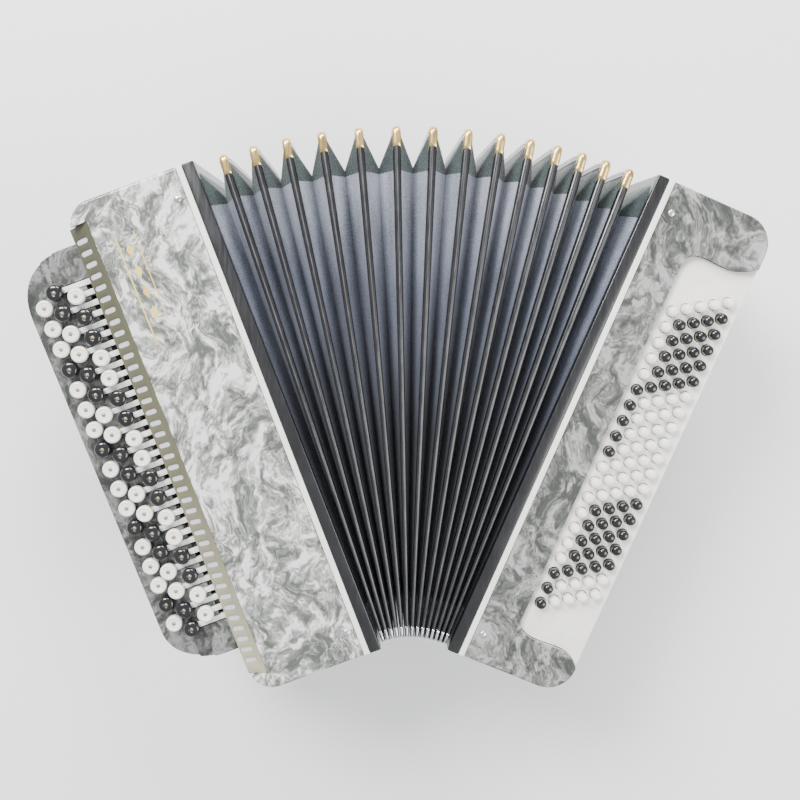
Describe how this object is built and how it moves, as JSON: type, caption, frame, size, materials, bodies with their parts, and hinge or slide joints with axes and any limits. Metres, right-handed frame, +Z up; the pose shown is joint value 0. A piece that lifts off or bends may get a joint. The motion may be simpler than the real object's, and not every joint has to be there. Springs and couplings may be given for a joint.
{
  "type": "button accordion",
  "caption": "Button accordion lying on its back, bellows fanned open: pearl treble side with round buttons and levers, folded bellows, bass side with button panel and hand strap.",
  "frame": {"origin": "on the floor under the middle of the instrument's box", "axes": "+X from the treble side to the bass side, +Y towards the open top of the fan, +Z up, towards the instrument's front"},
  "size_m": [0.5866, 0.452, 0.208],
  "materials": {
    "grey_pearl": "glossy pearl celluloid",
    "ivory_binding": "satin",
    "black_frame": "gloss lacquer",
    "black_tape": "glossy coated tape",
    "bellows_cloth": "pebbled",
    "cream_panel": "satin",
    "olive_strip": "satin",
    "grey_lining": "woven",
    "button_white": "gloss",
    "button_black": "gloss",
    "lever_white": "satin",
    "steel": "satin",
    "gold_trim": "gloss",
    "light_wood": "raw",
    "red_felt": "felt",
    "black_leather": "grained"
  },
  "bodies": {
    "treble_side": {"treble_casing": "grey_pearl", "treble_front_cover": "grey_pearl", "treble_grille_strip": "olive_strip", "treble_grille_lining": "grey_lining", "treble_finger_board": "grey_pearl", "treble_lever_axle": "steel", "treble_soundboard": "light_wood", "treble_reed_block_1": "light_wood", "treble_reed_block_2": "light_wood", "treble_binding": "ivory_binding", "treble_bellows_frame": "black_frame", "treble_front_pin_upper": "steel", "treble_front_pin_lower": "steel", "treble_end_pin_upper": "steel", "treble_end_pin_lower": "steel", "shoulder_strap_bracket_upper": "steel", "shoulder_strap_bracket_lower": "steel", "bellows_skin": "bellows_cloth"},
    "bass_side": {"bass_casing": "grey_pearl", "bass_button_panel": "cream_panel", "bass_binding": "ivory_binding", "bass_bellows_frame": "black_frame", "bass_soundboard": "light_wood", "bass_reed_block_1": "light_wood", "bass_reed_block_2": "light_wood", "bass_strap": "black_leather", "bass_strap_anchor": "steel", "bass_front_pin_upper": "steel", "bass_front_pin_lower": "steel", "bass_end_pin_upper": "steel", "bass_end_pin_lower": "steel"},
    "bellows_ridge_01": {"bellows_ridge_01": "black_tape"},
    "bellows_ridge_02": {"bellows_ridge_02": "black_tape"},
    "bellows_ridge_03": {"bellows_ridge_03": "black_tape"},
    "bellows_ridge_04": {"bellows_ridge_04": "black_tape"},
    "bellows_ridge_05": {"bellows_ridge_05": "black_tape"},
    "bellows_ridge_06": {"bellows_ridge_06": "black_tape"},
    "bellows_ridge_07": {"bellows_ridge_07": "black_tape"},
    "bellows_ridge_08": {"bellows_ridge_08": "black_tape"},
    "bellows_ridge_09": {"bellows_ridge_09": "black_tape"},
    "bellows_ridge_10": {"bellows_ridge_10": "black_tape"},
    "bellows_ridge_11": {"bellows_ridge_11": "black_tape"},
    "bellows_ridge_12": {"bellows_ridge_12": "black_tape"},
    "bellows_ridge_13": {"bellows_ridge_13": "black_tape"},
    "bellows_ridge_14": {"bellows_ridge_14": "black_tape"},
    "treble_row_outer": {"treble_keys_outer": "button_white", "treble_pallets_outer": "red_felt"},
    "treble_row_middle": {"treble_keys_middle": "button_white", "treble_pallets_middle": "red_felt"},
    "treble_row_inner": {"treble_keys_inner": "button_white", "treble_pallets_inner": "red_felt"},
    "bass_row_1": {"bass_buttons_row_1": "button_white"},
    "bass_row_2": {"bass_buttons_row_2": "button_white"},
    "bass_row_3": {"bass_buttons_row_3": "button_white"},
    "bass_row_4": {"bass_buttons_row_4": "button_white"},
    "bass_row_5": {"bass_buttons_row_5": "button_white"},
    "air_release": {"air_button": "button_white"},
    "strap_wheel": {"bass_strap_wheel": "steel"}
  },
  "joints": [
    {"name": "bellows_fold", "type": "hinge", "parent": "treble_side", "child": "bass_side", "pos_m": [0.02239, -0.18348, 0], "axis": [0, 0, -1], "range_deg": [-43.3, 12], "deforming": ["bellows_skin"]},
    {"name": "bellows_fold_01", "type": "hinge", "parent": "treble_side", "child": "bellows_ridge_01", "pos_m": [-0.00391, -0.18933, 0], "axis": [0, 0, -1], "range_deg": [-2.57, 0.71]},
    {"name": "bellows_fold_02", "type": "hinge", "parent": "bellows_ridge_01", "child": "bellows_ridge_02", "pos_m": [-0.00032, -0.18809, 0], "axis": [0, 0, -1], "range_deg": [-2.85, 0.79]},
    {"name": "bellows_fold_03", "type": "hinge", "parent": "bellows_ridge_02", "child": "bellows_ridge_03", "pos_m": [0.00333, -0.18703, 0], "axis": [0, 0, -1], "range_deg": [-3.12, 0.87]},
    {"name": "bellows_fold_04", "type": "hinge", "parent": "bellows_ridge_03", "child": "bellows_ridge_04", "pos_m": [0.00703, -0.18616, 0], "axis": [0, 0, -1], "range_deg": [-3.36, 0.93]},
    {"name": "bellows_fold_05", "type": "hinge", "parent": "bellows_ridge_04", "child": "bellows_ridge_05", "pos_m": [0.01078, -0.18552, 0], "axis": [0, 0, -1], "range_deg": [-3.52, 0.98]},
    {"name": "bellows_fold_06", "type": "hinge", "parent": "bellows_ridge_05", "child": "bellows_ridge_06", "pos_m": [0.01455, -0.18511, 0], "axis": [0, 0, -1], "range_deg": [-3.57, 0.99]},
    {"name": "bellows_fold_07", "type": "hinge", "parent": "bellows_ridge_06", "child": "bellows_ridge_07", "pos_m": [0.01835, -0.18493, 0], "axis": [0, 0, -1], "range_deg": [-3.5, 0.97]},
    {"name": "bellows_fold_08", "type": "hinge", "parent": "bellows_ridge_07", "child": "bellows_ridge_08", "pos_m": [0.02215, -0.18499, 0], "axis": [0, 0, -1], "range_deg": [-3.32, 0.92]},
    {"name": "bellows_fold_09", "type": "hinge", "parent": "bellows_ridge_08", "child": "bellows_ridge_09", "pos_m": [0.02594, -0.18526, 0], "axis": [0, 0, -1], "range_deg": [-3.07, 0.85]},
    {"name": "bellows_fold_10", "type": "hinge", "parent": "bellows_ridge_09", "child": "bellows_ridge_10", "pos_m": [0.02971, -0.18574, 0], "axis": [0, 0, -1], "range_deg": [-2.79, 0.77]},
    {"name": "bellows_fold_11", "type": "hinge", "parent": "bellows_ridge_10", "child": "bellows_ridge_11", "pos_m": [0.03345, -0.1864, 0], "axis": [0, 0, -1], "range_deg": [-2.52, 0.7]},
    {"name": "bellows_fold_12", "type": "hinge", "parent": "bellows_ridge_11", "child": "bellows_ridge_12", "pos_m": [0.03716, -0.18722, 0], "axis": [0, 0, -1], "range_deg": [-2.32, 0.64]},
    {"name": "bellows_fold_13", "type": "hinge", "parent": "bellows_ridge_12", "child": "bellows_ridge_13", "pos_m": [0.04084, -0.1882, 0], "axis": [0, 0, -1], "range_deg": [-2.22, 0.62]},
    {"name": "bellows_fold_14", "type": "hinge", "parent": "bellows_ridge_13", "child": "bellows_ridge_14", "pos_m": [0.04447, -0.18931, 0], "axis": [0, 0, -1], "range_deg": [-2.23, 0.62]},
    {"name": "treble_press_outer", "type": "hinge", "parent": "treble_side", "child": "treble_row_outer", "pos_m": [-0.16365, -0.03164, 0.176], "axis": [0.3689, -0.9295, 0], "range_deg": [0, 3.2], "stiffness_Nm_per_rad": 1, "springref_deg": -20.05},
    {"name": "treble_press_middle", "type": "hinge", "parent": "treble_side", "child": "treble_row_middle", "pos_m": [-0.16365, -0.03164, 0.176], "axis": [0.3689, -0.9295, 0], "range_deg": [0, 4.2], "stiffness_Nm_per_rad": 1, "springref_deg": -20.05},
    {"name": "treble_press_inner", "type": "hinge", "parent": "treble_side", "child": "treble_row_inner", "pos_m": [-0.16365, -0.03164, 0.176], "axis": [0.3689, -0.9295, 0], "range_deg": [0, 4.8], "stiffness_Nm_per_rad": 1, "springref_deg": -20.05},
    {"name": "bass_press_1", "type": "slide", "parent": "bass_side", "child": "bass_row_1", "axis": [0, 0, -1], "range_m": [0, 0.004], "stiffness_N_per_m": 300, "springref_m": -0.015},
    {"name": "bass_press_2", "type": "slide", "parent": "bass_side", "child": "bass_row_2", "axis": [0, 0, -1], "range_m": [0, 0.004], "stiffness_N_per_m": 300, "springref_m": -0.015},
    {"name": "bass_press_3", "type": "slide", "parent": "bass_side", "child": "bass_row_3", "axis": [0, 0, -1], "range_m": [0, 0.004], "stiffness_N_per_m": 300, "springref_m": -0.015},
    {"name": "bass_press_4", "type": "slide", "parent": "bass_side", "child": "bass_row_4", "axis": [0, 0, -1], "range_m": [0, 0.004], "stiffness_N_per_m": 300, "springref_m": -0.015},
    {"name": "bass_press_5", "type": "slide", "parent": "bass_side", "child": "bass_row_5", "axis": [0, 0, -1], "range_m": [0, 0.004], "stiffness_N_per_m": 300, "springref_m": -0.015},
    {"name": "air_press", "type": "slide", "parent": "bass_side", "child": "air_release", "axis": [-0.9295, 0.3689, 0], "range_m": [0, 0.006], "stiffness_N_per_m": 200, "springref_m": -0.015},
    {"name": "strap_wheel_turn", "type": "hinge", "parent": "bass_side", "child": "strap_wheel", "pos_m": [0.27041, 0.16787, 0.094], "axis": [0.3689, 0.9295, 0], "continuous": true}
  ],
  "couplings": [
    {"joint": "bellows_fold_01", "follows": "bellows_fold", "ratio": 0.059408},
    {"joint": "bellows_fold_02", "follows": "bellows_fold", "ratio": 0.065683},
    {"joint": "bellows_fold_03", "follows": "bellows_fold", "ratio": 0.072128},
    {"joint": "bellows_fold_04", "follows": "bellows_fold", "ratio": 0.077628},
    {"joint": "bellows_fold_05", "follows": "bellows_fold", "ratio": 0.081233},
    {"joint": "bellows_fold_06", "follows": "bellows_fold", "ratio": 0.08232},
    {"joint": "bellows_fold_07", "follows": "bellows_fold", "ratio": 0.080699},
    {"joint": "bellows_fold_08", "follows": "bellows_fold", "ratio": 0.076653},
    {"joint": "bellows_fold_09", "follows": "bellows_fold", "ratio": 0.07088},
    {"joint": "bellows_fold_10", "follows": "bellows_fold", "ratio": 0.064378},
    {"joint": "bellows_fold_11", "follows": "bellows_fold", "ratio": 0.058272},
    {"joint": "bellows_fold_12", "follows": "bellows_fold", "ratio": 0.053618},
    {"joint": "bellows_fold_13", "follows": "bellows_fold", "ratio": 0.051219},
    {"joint": "bellows_fold_14", "follows": "bellows_fold", "ratio": 0.051492}
  ]
}
